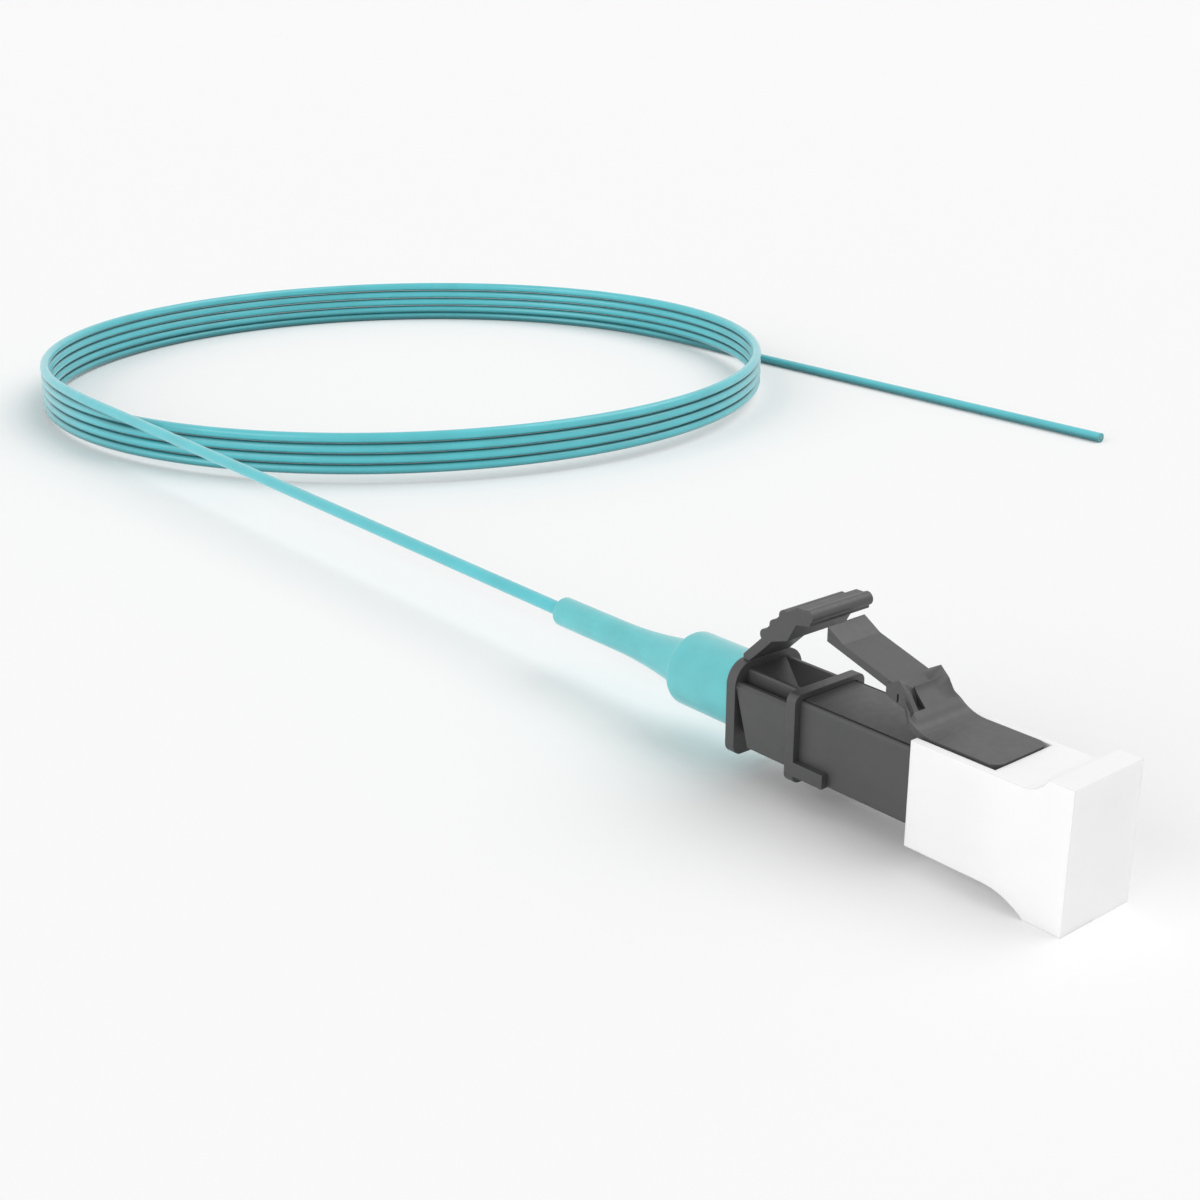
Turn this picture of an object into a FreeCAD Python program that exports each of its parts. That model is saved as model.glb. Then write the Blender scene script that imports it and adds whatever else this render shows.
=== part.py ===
"""Fibre pigtail: a small-form-factor plug with latch, trigger clip, boot and dust cap, on a coiled cord.

Frame: +X runs along the plug's axis towards its front, +Y is sideways, +Z is up, and the floor is z = 0.
The origin lies on the floor under the middle of the plug, which reaches from the boot's end to the cap's front.
"""
import math
import os
import re

import FreeCAD
import Part
import Sketcher

DOC = FreeCAD.newDocument("fibre_pigtail")

# Driving dimensions in millimetres, one named cell each.
SIZES = {
    # plug axis and housing
    "axis_height": 4.05,
    "housing_width": 4.5,
    "housing_corner": 0.25,
    "housing_roof": 2.05,
    "housing_front": 15.2,
    "neck_width": 3.2,
    "neck_drop": 1.6,
    "bore_radius": 1.2,
    "mouth_radius": 1.0,
    "seat_front": 12.0,
    # relief trough in the neck's top, under the trigger
    "trough_width": 2.6,
    "trough_depth": 0.8,
    "trough_ramp": 2.3,
    # tongue on the housing's top, which carries the latch
    "tongue_inset": 0.22,
    "tongue_height": 0.73,
    "tongue_rear": 11.4,
    "tongue_corner": 0.6,
    # groove along both edges of the housing's roof
    "groove_width": 0.15,
    "groove_depth": 0.25,
    "groove_inset": 0.31,
    # latch arm, and the lug on each side of it
    "latch_width": 2.8,
    "latch_thick": 0.47,
    "latch_heel_length": 1.64,
    "latch_heel_rise": 0.59,
    "latch_bend_length": 0.8,
    "latch_bend_rise": 0.98,
    "latch_end": 3.58,
    "latch_run_rise": 1.25,
    "latch_tail_length": 1.12,
    "latch_tail_rise": 0.67,
    "root_flare": 2.6,
    "lug_setback": 1.1,
    "lug_length": 1.9,
    "lug_inside": 1.3,
    "lug_outside": 3.2,
    "lug_peak_run": 0.8,
    "lug_peak_rise": 0.53,
    "lug_nose_run": 1.38,
    "lug_nose_rise": 0.18,
    "lug_rear_drop": 0.16,
    "lug_depth": 0.72,
    "lug_tip_drop": 0.8,
    "lug_tip_height": 0.2,
    "slit_run": 0.72,
    "slit_width": 0.13,
    "slit_height": 0.5,
    "slit_depth": 0.15,
    "notch_inside": 1.5,
    "notch_width": 0.52,
    "notch_run": 0.55,
    "notch_depth": 0.5,
    "notch_back": 0.45,
    # rear plate, side panels, band and snap feet of the trigger clip
    "plate_rear": -2.5,
    "plate_thick": 0.65,
    "plate_stand": 0.35,
    "plate_rise": 0.45,
    "plate_corner": 0.6,
    "plate_shoulder": 1.3,
    "panel_wall": 0.45,
    "panel_stand": 0.23,
    "panel_height": 3.3,
    "panel_lift": -0.02,
    "panel_chamfer": 0.2,
    "rake_run": 1.05,
    "rake_drop": 0.3,
    "band_wall": 0.42,
    "band_roof": 0.36,
    "band_length": 0.62,
    "band_front": 2.72,
    "band_corner": 0.5,
    "foot_length": 2.1,
    "foot_height": 0.8,
    # trigger: thin arm, stepped head, grip ridges and front lip
    "arm_width": 3.2,
    "arm_thick": 0.42,
    "arm_run": 1.9,
    "arm_rise": 1.85,
    "arm_height": 0.74,
    "head_width": 4.5,
    "head_step_run": 1.5,
    "head_step_rise": 0.5,
    "head_riser_run": 0.62,
    "head_riser_rise": 1.08,
    "head_thick": 0.95,
    "head_back": 0.34,
    "head_slope_run": 1.37,
    "head_slope_rise": 1.47,
    "nose_run": 0.95,
    "nose_rise": 0.17,
    "ridge_radius": 0.34,
    "ridge_rise": 0.15,
    "ridge_start": 0.2,
    "ridge_pitch": 0.98,
    "lip_radius": 0.38,
    "lip_set": 0.17,
    "lip_lift": 0.49,
    "lip_cover": 0.3,
    "lip_width": 4.6,
    # ferrule, its flange and its spring
    "ferrule_radius": 0.625,
    "ferrule_tip": 17.4,
    "ferrule_rear": 10.2,
    "ferrule_chamfer": 0.18,
    "fibre_radius": 0.0625,
    "flange_radius": 1.14,
    "flange_length": 2.6,
    "spigot_radius": 0.72,
    "spigot_length": 2.4,
    "spring_radius": 0.98,
    "wire_radius": 0.1,
    "spring_turns": 7,
    # back post that closes the housing and carries the boot
    "post_front": 2.2,
    "post_rear": -6.2,
    "post_radius": 1.45,
    "post_bore": 0.55,
    # boot
    "boot_end": -20,
    "boot_radius": 2.22,
    "boot_shoulder": -8.1,
    "boot_neck_radius": 1.56,
    "boot_sleeve_front": -14.4,
    "boot_sleeve_radius": 0.94,
    "boot_round": 0.45,
    # dust cap
    "cap_front": 20,
    "cap_rear": 10.5,
    "cap_wall": 0.34,
    "cap_floor_wall": 0.79,
    "cap_roof_wall": 0.56,
    "cap_flange_rise": 0.85,
    "cap_foot_length": 2.15,
    "cap_foot_flare": 2.6,
    "cap_lip_length": 1.45,
    "cap_flare": 1.35,
    "cap_bore": 0.95,
    "cap_bore_front": 18.2,
    # cord
    "cord_radius": 0.45,
    "coil_radius": 36.6,
    "coil_turns": 4.5,
    "coil_x": -91.8,
    "lead_end": -86,
    "tail_end": -31.2,
    # fits
    "press_gap": 0.01,
    "slip_gap": 0.04,
    "cap_gap": 0.06,
    "slot_gap": 0.16,
    "fibre_gap": 0.002,
}


def make_sheet():
    """Writes every driving dimension to the spreadsheet as a cell with an alias."""
    sheet = DOC.addObject("Spreadsheet::Sheet", "sizes")
    for row, (name, value) in enumerate(SIZES.items(), start=1):
        sheet.set(f"A{row}", name)
        sheet.set(f"B{row}", str(value))
        sheet.setAlias(f"B{row}", name)
    DOC.recompute()
    return sheet


# Places and widths that more than one piece takes from the driving dimensions.
ROOF = "(axis_height + housing_roof)"
HOUSING_REAR = "(band_front - band_length + slip_gap)"
PLATE_FRONT = "(plate_rear + plate_thick)"
PLATE_TOP = "(axis_height + housing_width / 2 + plate_rise)"
TONGUE_HALF = "(housing_width / 2 - tongue_inset)"

SHEET = make_sheet()
ANSWERS = DOC.addObject("Spreadsheet::Sheet", "answers")


def bind(text):
    """Turns an expression of plain size names into one that reads the spreadsheet."""
    return re.sub(r"[a-z][a-z_]+", lambda m: "sizes." + m.group(0) if m.group(0) in SIZES else m.group(0), text)


def value(text):
    """The present value of an expression of size names, worked out in a cell of a second sheet."""
    ANSWERS.set("A1", "=" + bind(text))
    ANSWERS.recompute()
    return float(ANSWERS.get("A1"))


def new_body(name):
    body = DOC.addObject("PartDesign::Body", name)
    body.Label = name
    return body


def origin_plane(body, role):
    return next(f for f in body.Origin.OriginFeatures if f.Role == role)


def new_sketch(body, name, role, offset="0"):
    """A sketch on one of the body's own planes, moved along the plane's normal by an expression."""
    sketch = body.newObject("Sketcher::SketchObject", name)
    sketch.AttachmentSupport = [(origin_plane(body, role), "")]
    sketch.MapMode = "FlatFace"
    sketch.setExpression("AttachmentOffset.Base.z", bind(offset))
    return sketch


def pin_point(sketch, geo, end, x_text, y_text):
    """Holds one end of a line or arc at a place given by two expressions."""
    for kind, text in (("DistanceX", x_text), ("DistanceY", y_text)):
        index = sketch.addConstraint(Sketcher.Constraint(kind, -1, 1, geo, end, value(text)))
        sketch.setExpression(f"Constraints[{index}]", bind(text))


def outline(sketch, points):
    """A closed outline. Each point is (x, y) for a straight side to the next point, or (x, y, radius) for an
    arc of that radius: positive bulges to the right of the way round, negative to the left."""
    flat = [FreeCAD.Vector(value(p[0]), value(p[1]), 0) for p in points]
    ids = []
    starts = []
    for i, p in enumerate(points):
        a = flat[i]
        b = flat[(i + 1) % len(points)]
        if len(p) == 2:
            ids.append(sketch.addGeometry(Part.LineSegment(a, b), False))
            starts.append((1, 2))
            continue
        radius = value(p[2])
        half = (b - a).Length / 2
        along = (b - a).normalize()
        right = FreeCAD.Vector(along.y, -along.x, 0)
        side = 1 if radius > 0 else -1
        sag = abs(radius) - math.sqrt(radius * radius - half * half)
        middle = (a + b) / 2 + right * (side * sag)
        ids.append(sketch.addGeometry(Part.Arc(a, middle, b), False))
        starts.append((1, 2) if side > 0 else (2, 1))
    for i, p in enumerate(points):
        j = (i + 1) % len(points)
        sketch.addConstraint(Sketcher.Constraint("Coincident", ids[i], starts[i][1], ids[j], starts[j][0]))
        pin_point(sketch, ids[i], starts[i][0], p[0], p[1])
        if len(p) == 3:
            index = sketch.addConstraint(Sketcher.Constraint("Radius", ids[i], abs(value(p[2]))))
            sketch.setExpression(f"Constraints[{index}]", bind(f"abs({p[2]})"))


def rounded_rectangle(sketch, x_low, x_high, y_low, y_high, radius):
    """A rectangle with equal round corners, from expressions for its sides and its corner radius."""
    r = radius
    outline(sketch, [
        (f"{x_low} + {r}", y_low),
        (f"{x_high} - {r}", y_low, r),
        (x_high, f"{y_low} + {r}"),
        (x_high, f"{y_high} - {r}", r),
        (f"{x_high} - {r}", y_high),
        (f"{x_low} + {r}", y_high, r),
        (x_low, f"{y_high} - {r}"),
        (x_low, f"{y_low} + {r}", r),
    ])


def circle(sketch, x_text, y_text, radius):
    centre = FreeCAD.Vector(value(x_text), value(y_text), 0)
    geo = sketch.addGeometry(Part.Circle(centre, FreeCAD.Vector(0, 0, 1), value(radius)), False)
    index = sketch.addConstraint(Sketcher.Constraint("Radius", geo, value(radius)))
    sketch.setExpression(f"Constraints[{index}]", bind(radius))
    pin_point(sketch, geo, 3, x_text, y_text)


def pad(body, sketch, length, both_sides=False):
    """Adds a pad. Sketches on the XZ plane are padded evenly to both sides, the others along their normal."""
    feature = body.newObject("PartDesign::Pad", sketch.Name + "_pad")
    feature.Profile = sketch
    if both_sides:
        feature.SideType = "Symmetric"
    feature.setExpression("Length", bind(length))
    DOC.recompute()
    return feature


def pocket(body, sketch, length, forward=True):
    """Cuts a pocket along the sketch's normal, or against it, and stops if nothing was cut away."""
    before = body.Shape.Volume
    feature = body.newObject("PartDesign::Pocket", sketch.Name + "_pocket")
    feature.Profile = sketch
    feature.Reversed = forward
    feature.setExpression("Length", bind(length))
    DOC.recompute()
    if body.Shape.Volume > before - 1e-6:
        raise RuntimeError(f"{sketch.Name} cut nothing away")
    return feature


def revolve(body, sketch):
    """Turns a profile drawn above the X axis through a full turn about that axis."""
    feature = body.newObject("PartDesign::Revolution", sketch.Name + "_turned")
    feature.Profile = sketch
    feature.ReferenceAxis = (next(f for f in body.Origin.OriginFeatures if f.Role == "X_Axis"), [""])
    feature.Angle = 360
    DOC.recompute()
    return feature


def lift_to_axis(thing):
    """Raises a turned piece, drawn about z = 0, to the plug's axis."""
    thing.setExpression("Placement.Base.z", bind("axis_height"))


def housing():
    """The plug's square housing: bore, front seat, narrow neck with a relief trough, and the latch's tongue."""
    body = new_body("housing_body")
    half = "housing_width / 2"
    top = "axis_height + housing_width / 2"
    main = new_sketch(body, "housing_section", "YZ_Plane", HOUSING_REAR)
    rounded_rectangle(main, f"-{half}", half, f"axis_height - {half}", ROOF, "housing_corner")
    pad(body, main, f"housing_front - {HOUSING_REAR}")
    neck = new_sketch(body, "neck_section", "YZ_Plane", PLATE_FRONT)
    rounded_rectangle(neck, "-neck_width / 2", "neck_width / 2", "axis_height - neck_drop", top,
                      "housing_corner / 2")
    pad(body, neck, f"{HOUSING_REAR} - {PLATE_FRONT}")
    tongue = new_sketch(body, "tongue_plan", "XY_Plane", f"{ROOF} - housing_corner")
    wide = TONGUE_HALF
    outline(tongue, [
        ("tongue_rear", f"-{wide}"),
        ("housing_front - tongue_corner", f"-{wide}", "tongue_corner"),
        ("housing_front", f"-{wide} + tongue_corner"),
        ("housing_front", f"{wide} - tongue_corner", "tongue_corner"),
        ("housing_front - tongue_corner", wide),
        ("tongue_rear", wide),
    ])
    pad(body, tongue, "tongue_height + housing_corner")
    bore = new_sketch(body, "housing_bore", "YZ_Plane", PLATE_FRONT)
    circle(bore, "0", "axis_height", "bore_radius")
    pocket(body, bore, f"seat_front - {PLATE_FRONT}")
    mouth = new_sketch(body, "housing_mouth", "YZ_Plane", "seat_front")
    circle(mouth, "0", "axis_height", "mouth_radius")
    pocket(body, mouth, "housing_front - seat_front")
    grooves = new_sketch(body, "edge_grooves", "YZ_Plane", HOUSING_REAR)
    for sign in ("", "-"):
        outline(grooves, [
            (f"{sign}({half} - groove_inset)", f"{ROOF} - groove_depth"),
            (f"{sign}({half} - groove_inset + groove_width)", f"{ROOF} - groove_depth"),
            (f"{sign}({half} - groove_inset + groove_width)", f"{ROOF} + groove_depth"),
            (f"{sign}({half} - groove_inset)", f"{ROOF} + groove_depth"),
        ])
    pocket(body, grooves, f"cap_rear - {HOUSING_REAR}")

    valley = new_body("trough_valley")
    section = new_sketch(valley, "trough_section", "YZ_Plane", PLATE_FRONT)
    rise = 1
    outline(section, [
        ("0", f"{top} - trough_depth"),
        (f"trough_width / 2 * (1 + {rise} / trough_depth)", f"{top} + {rise}"),
        (f"-trough_width / 2 * (1 + {rise} / trough_depth)", f"{top} + {rise}"),
    ])
    pad(valley, section, f"{HOUSING_REAR} - {PLATE_FRONT}")
    ramp = new_body("trough_ramp_block")
    side = new_sketch(ramp, "trough_side", "XZ_Plane")
    outline(side, [
        (PLATE_FRONT, top),
        (f"{PLATE_FRONT} + trough_ramp", f"{top} - trough_depth"),
        (HOUSING_REAR, f"{top} - trough_depth"),
        (HOUSING_REAR, f"{top} + {rise}"),
        (PLATE_FRONT, f"{top} + {rise}"),
    ])
    pad(ramp, side, "trough_width * 4", both_sides=True)
    trough = DOC.addObject("Part::Common", "trough")
    trough.Base = valley
    trough.Tool = ramp
    part = DOC.addObject("Part::Cut", "plug_housing")
    part.Base = body
    part.Tool = trough
    return part


def latch_arm():
    """The latch: a springy arm that rises to the rear from the tongue, with a turned-up free end for the
    trigger, and a fin on each side, parted from the arm by a notch, that holds the plug in its
    adapter."""
    body = new_body("latch_arm")
    top = f"{ROOF} + tongue_height"
    root = "tongue_rear - press_gap"
    heel = f"{root} - latch_heel_length"
    bend = f"{heel} - latch_bend_length"
    run = "latch_end + latch_tail_length"
    tail = "latch_end"
    lug_rear = f"({bend} - lug_setback)"
    heel_z = f"{top} + latch_heel_rise"
    bend_z = f"{heel_z} + latch_bend_rise"
    run_z = f"{bend_z} + latch_run_rise"
    tail_z = f"{run_z} + latch_tail_rise"
    slope = f"latch_run_rise / ({bend} - ({run}))"
    side = new_sketch(body, "latch_side", "XZ_Plane")
    sweep = "(latch_heel_length ^ 2 + latch_heel_rise ^ 2) / (2 * latch_heel_rise)"
    under = f"{bend} - latch_thick / 3"
    outline(side, [
        (root, f"{ROOF} + press_gap"),
        (root, top, f"-{sweep}"),
        (heel, heel_z),
        (bend, bend_z),
        (run, run_z),
        (tail, tail_z),
        (tail, f"{run_z} - latch_thick + latch_tail_length * {slope}"),
        (under, f"{bend_z} - latch_thick + latch_thick / 3 * {slope}"),
        (f"{heel} - latch_thick / 3", f"{heel_z} - latch_thick * 1.2"),
    ])
    pad(body, side, "latch_width", both_sides=True)
    shoulder = new_sketch(body, "root_side", "XZ_Plane")
    outline(shoulder, [
        (root, f"{ROOF} + press_gap"),
        (root, top, f"-{sweep}"),
        (heel, heel_z),
        (bend, bend_z),
        (bend, f"{bend_z} - latch_thick"),
        (heel, f"{heel_z} - latch_thick"),
    ])
    pad(body, shoulder, f"2 * {TONGUE_HALF}", both_sides=True)
    flare = new_sketch(body, "root_plan", "XY_Plane", ROOF)
    for sign in ("", "-"):
        outline(flare, [
            (bend, f"{sign}lug_outside / 2", f"{sign}root_flare"),
            (heel, f"{sign}{TONGUE_HALF}"),
            (bend, f"{sign}housing_width / 2"),
        ])
    pocket(body, flare, "tongue_height + latch_heel_rise + latch_bend_rise * 2")

    def deck(run_from_rear):
        return f"{bend_z} + (lug_setback - {run_from_rear}) * {slope}"

    low = f"{deck('0')} - lug_depth"
    tip = f"{bend_z} - lug_tip_drop"
    nose = f"{deck('lug_nose_run')} + lug_nose_rise"
    sides = {
        "lug_inner": ("lug_inside / 2", "0", bend, bend_z, "-press_gap"),
        "lug_outer": ("lug_outside / 2", "lug_peak_rise", f"{lug_rear} + lug_nose_run", nose, "-lug_rear_drop"),
    }
    for name, (offset, peak_rise, nose_x, nose_z, rear_rise) in sides.items():
        fin = new_sketch(body, name, "XZ_Plane", offset)
        outline(fin, [
            (lug_rear, low),
            (f"{lug_rear} + lug_length", f"{tip} - lug_tip_height"),
            (f"{lug_rear} + lug_length", tip),
            (nose_x, nose_z),
            (f"{lug_rear} + lug_peak_run", f"{deck('lug_peak_run')} + {peak_rise}"),
            (lug_rear, f"{deck('0')} + {rear_rise}"),
        ])
    lug = body.newObject("PartDesign::AdditiveLoft", "lug_fin")
    lug.Profile = DOC.getObject("lug_inner")
    lug.Sections = [DOC.getObject("lug_outer")]
    lug.Ruled = True
    DOC.recompute()
    slit = new_sketch(body, "lug_slit", "XZ_Plane", "lug_outside / 2 - slit_depth")
    slit_top = f"{deck('slit_run')} - slit_height / 2"
    outline(slit, [
        (f"{lug_rear} + slit_run", f"{slit_top} - slit_height"),
        (f"{lug_rear} + slit_run + slit_width", f"{slit_top} - slit_height"),
        (f"{lug_rear} + slit_run + slit_width", slit_top),
        (f"{lug_rear} + slit_run", slit_top),
    ])
    cut = pocket(body, slit, "slit_depth * 2")
    notch = new_sketch(body, "lug_notch", "XZ_Plane", "notch_inside / 2")
    ramp = "latch_bend_rise / latch_bend_length"
    clear = f"{bend_z} + lug_peak_rise * 2"
    outline(notch, [
        (heel, heel_z),
        (heel, clear),
        (f"{bend} - notch_back", clear),
        (f"{heel} - notch_run", f"{heel_z} + notch_run * {ramp} - notch_depth"),
    ])
    gap = pocket(body, notch, "notch_width")
    mirror = body.newObject("PartDesign::Mirrored", "lug_other_side")
    mirror.Originals = [lug, cut, gap]
    mirror.MirrorPlane = (origin_plane(body, "XZ_Plane"), [""])
    body.Tip = mirror
    DOC.recompute()
    return body


def trigger_clip():
    """The clip behind the housing: a rear plate with a hole for the back post, two side panels, a band
    round the housing and two snap feet that reach forward from the band's lower corners."""
    body = new_body("trigger_clip")
    plate = new_sketch(body, "plate_section", "YZ_Plane", "plate_rear")
    wide = "(housing_width / 2 + plate_stand)"
    plate_low = "axis_height - housing_width / 2 - plate_rise"
    plate_high = PLATE_TOP
    outline(plate, [
        (f"-{wide} + plate_corner", plate_low),
        (f"{wide} - plate_corner", plate_low, "plate_corner"),
        (wide, f"{plate_low} + plate_corner"),
        (wide, f"{plate_high} - plate_shoulder", "plate_shoulder"),
        (f"{wide} - plate_shoulder", plate_high),
        (f"-{wide} + plate_shoulder", plate_high, "plate_shoulder"),
        (f"-{wide}", f"{plate_high} - plate_shoulder"),
        (f"-{wide}", f"{plate_low} + plate_corner", "plate_corner"),
    ])
    pad(body, plate, "plate_thick")
    panels = new_sketch(body, "panel_section", "YZ_Plane", PLATE_FRONT)
    outer = "housing_width / 2 + panel_stand"
    inner = f"{outer} - panel_wall"
    low = "axis_height + panel_lift - panel_height / 2 - panel_chamfer"
    high = "axis_height + panel_lift + panel_height / 2"
    for sign in ("", "-"):
        outline(panels, [
            (f"{sign}({inner})", low),
            (f"{sign}({outer})", low),
            (f"{sign}({outer})", f"{high} - panel_chamfer"),
            (f"{sign}({outer} - panel_chamfer)", high),
            (f"{sign}({inner})", high),
        ])
    pad(body, panels, f"band_front - band_length - {PLATE_FRONT} + press_gap")
    rake = new_sketch(body, "panel_rake", "XZ_Plane", "-housing_width")
    outline(rake, [
        (PLATE_FRONT, f"{high} - rake_drop"),
        (PLATE_FRONT, f"{low} - rake_drop"),
        (f"{PLATE_FRONT} + rake_run", f"{low} - rake_drop"),
    ])
    pocket(body, rake, "housing_width * 2")
    band = new_sketch(body, "band_section", "YZ_Plane", "band_front - band_length")
    inside = "housing_width / 2 + press_gap"
    outside = "housing_width / 2 + press_gap + band_wall"
    band_top = f"{ROOF} + press_gap"
    rounded_rectangle(band, f"-({outside})", outside, f"axis_height - ({outside})", f"{band_top} + band_roof",
                      "band_corner")
    rounded_rectangle(band, f"-({inside})", inside, f"axis_height - ({inside})", band_top, "housing_corner")
    pad(body, band, "band_length")
    feet = new_sketch(body, "foot_section", "YZ_Plane", "band_front - band_length")
    for sign in ("", "-"):
        outline(feet, [
            (f"{sign}({inside})", f"axis_height - ({outside}) + band_corner"),
            (f"{sign}({outside})", f"axis_height - ({outside}) + band_corner"),
            (f"{sign}({outside})", f"axis_height - ({outside}) + band_corner + foot_height"),
            (f"{sign}({inside})", f"axis_height - ({outside}) + band_corner + foot_height"),
        ])
    pad(body, feet, "band_length + foot_length")
    hole = new_sketch(body, "plate_hole", "YZ_Plane", "plate_rear")
    circle(hole, "0", "axis_height", "bore_radius")
    pocket(body, hole, "plate_thick")
    return body


def trigger_arm():
    """The trigger: a thin arm that rises forward from the plate's top to a thick stepped head with grip ridges,
    whose nose and rounded lip reach over the latch's free end."""
    body = new_body("trigger_arm")
    foot = f"{PLATE_TOP} + press_gap"
    front = PLATE_FRONT
    knee_x = f"{front} + arm_run"
    knee_z = f"{foot} + arm_rise"
    step_x = f"{knee_x} + head_step_run"
    step_z = f"{knee_z} + head_step_rise"
    riser_x = f"{step_x} + head_riser_run"
    riser_z = f"{step_z} + head_riser_rise"
    nose_x = f"{riser_x} + nose_run"
    nose_z = f"{riser_z} + nose_rise"
    rear_x = f"({knee_x} - arm_thick)"
    rear_z = f"({knee_z} + head_back)"
    lip_x = f"({nose_x} - lip_set)"
    lip_z = f"({nose_z} + lip_lift)"
    arm = new_sketch(body, "arm_side", "XZ_Plane")
    outline(arm, [
        (front, foot),
        (knee_x, knee_z),
        (f"{knee_x} + head_step_run / 2", f"{knee_z} + head_step_rise"),
        (knee_x, f"{knee_z} + arm_height"),
        (f"{front} - arm_thick", f"{foot} + arm_height - arm_thick"),
        (f"{front} - arm_thick", foot),
    ])
    pad(body, arm, "arm_width", both_sides=True)
    head = new_sketch(body, "head_side", "XZ_Plane")
    outline(head, [
        (knee_x, knee_z),
        (step_x, step_z),
        (riser_x, riser_z),
        (nose_x, nose_z),
        (nose_x, lip_z),
        (lip_x, f"{lip_z} + lip_cover"),
        (riser_x, f"{riser_z} + head_thick"),
        (f"{rear_x} + head_slope_run", f"{rear_z} + head_slope_rise"),
        (rear_x, rear_z),
    ])
    pad(body, head, "head_width", both_sides=True)
    ridges = new_sketch(body, "ridge_side", "XZ_Plane")
    slope = "sqrt(head_slope_run ^ 2 + head_slope_rise ^ 2)"
    sink = f"(ridge_radius - ridge_rise) / {slope}"
    for count in range(3):
        along = f"(ridge_start + {count} * ridge_pitch) / {slope}"
        circle(ridges, f"{rear_x} + head_slope_run * {along} + head_slope_rise * {sink}",
               f"{rear_z} + head_slope_rise * {along} - head_slope_run * {sink}", "ridge_radius")
    pad(body, ridges, "head_width", both_sides=True)
    lip = new_sketch(body, "lip_side", "XZ_Plane")
    circle(lip, lip_x, lip_z, "lip_radius")
    pad(body, lip, "lip_width", both_sides=True)
    return body


def ferrule():
    """The ceramic ferrule with its fine bore and a chamfered tip."""
    body = new_body("ferrule")
    profile = new_sketch(body, "ferrule_profile", "XZ_Plane")
    outline(profile, [
        ("ferrule_rear", "fibre_radius + fibre_gap"),
        ("ferrule_tip", "fibre_radius + fibre_gap"),
        ("ferrule_tip", "ferrule_radius - ferrule_chamfer"),
        ("ferrule_tip - ferrule_chamfer * 2", "ferrule_radius"),
        ("ferrule_rear", "ferrule_radius"),
    ])
    revolve(body, profile)
    lift_to_axis(body)
    return body


def ferrule_flange():
    """The six-sided flange on the ferrule, with a spigot that holds the buffered fibre inside the spring."""
    body = new_body("ferrule_flange")
    rear = "seat_front - press_gap - flange_length"
    hexagon = new_sketch(body, "flange_section", "YZ_Plane", rear)
    corners = [(f"flange_radius * cos({60 * k} deg)", f"flange_radius * sin({60 * k} deg)") for k in range(6)]
    outline(hexagon, corners)
    pad(body, hexagon, "flange_length")
    spigot = new_sketch(body, "spigot_section", "YZ_Plane", f"{rear} - spigot_length")
    circle(spigot, "0", "0", "spigot_radius")
    pad(body, spigot, "spigot_length + flange_length / 2")
    seat = new_sketch(body, "ferrule_seat", "YZ_Plane", "ferrule_rear")
    circle(seat, "0", "0", "ferrule_radius + fibre_gap")
    pocket(body, seat, "seat_front - ferrule_rear")
    lead_bore = new_sketch(body, "lead_bore", "YZ_Plane", f"{rear} - spigot_length")
    circle(lead_bore, "0", "0", "cord_radius + slip_gap")
    pocket(body, lead_bore, f"ferrule_rear - ({rear}) + spigot_length")
    lift_to_axis(body)
    return body


def ferrule_spring():
    """The coil spring that presses the flange forward against its seat."""
    body = new_body("ferrule_spring")
    wire = new_sketch(body, "wire_section", "XZ_Plane")
    circle(wire, "post_front + press_gap + wire_radius", "spring_radius", "wire_radius")
    helix = body.newObject("PartDesign::AdditiveHelix", "spring_coil")
    helix.Profile = wire
    helix.ReferenceAxis = (next(f for f in body.Origin.OriginFeatures if f.Role == "X_Axis"), [""])
    helix.Mode = "height-turns-angle"
    room = "seat_front - flange_length - post_front - 3 * press_gap - 2 * wire_radius"
    helix.setExpression("Height", bind(room))
    helix.setExpression("Turns", bind("spring_turns"))
    DOC.recompute()
    lift_to_axis(body)
    return body


def back_post():
    """The post that closes the housing from the rear, holds the spring and carries the boot on its tube."""
    body = new_body("back_post")
    profile = new_sketch(body, "post_profile", "XZ_Plane")
    outline(profile, [
        ("post_rear", "post_bore"),
        ("post_front", "post_bore"),
        ("post_front", "bore_radius - press_gap"),
        ("plate_rear - press_gap", "bore_radius - press_gap"),
        ("plate_rear - press_gap", "post_radius"),
        ("post_rear", "post_radius"),
    ])
    revolve(body, profile)
    lift_to_axis(body)
    return body


def boot():
    """The bend-relief boot: a collar over the post, a rounded shoulder and a concave taper to a slim sleeve."""
    body = new_body("boot")
    profile = new_sketch(body, "boot_profile", "XZ_Plane")
    outline(profile, [
        ("boot_end", "cord_radius + slip_gap"),
        ("post_rear - slip_gap", "cord_radius + slip_gap"),
        ("post_rear - slip_gap", "post_radius + press_gap"),
        ("plate_rear - press_gap", "post_radius + press_gap"),
        ("plate_rear - press_gap", "boot_radius"),
        ("boot_shoulder + boot_round", "boot_radius", "boot_round"),
        ("boot_shoulder", "boot_radius - boot_round"),
        ("boot_shoulder", "boot_neck_radius", "-((boot_shoulder - boot_sleeve_front) ^ 2 "
         "+ (boot_neck_radius - boot_sleeve_radius) ^ 2) / (2 * (boot_neck_radius - boot_sleeve_radius))"),
        ("boot_sleeve_front", "boot_sleeve_radius"),
        ("boot_end + boot_round / 2", "boot_sleeve_radius", "boot_round / 2"),
        ("boot_end", "boot_sleeve_radius - boot_round / 2"),
    ])
    revolve(body, profile)
    lift_to_axis(body)
    return body


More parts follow.
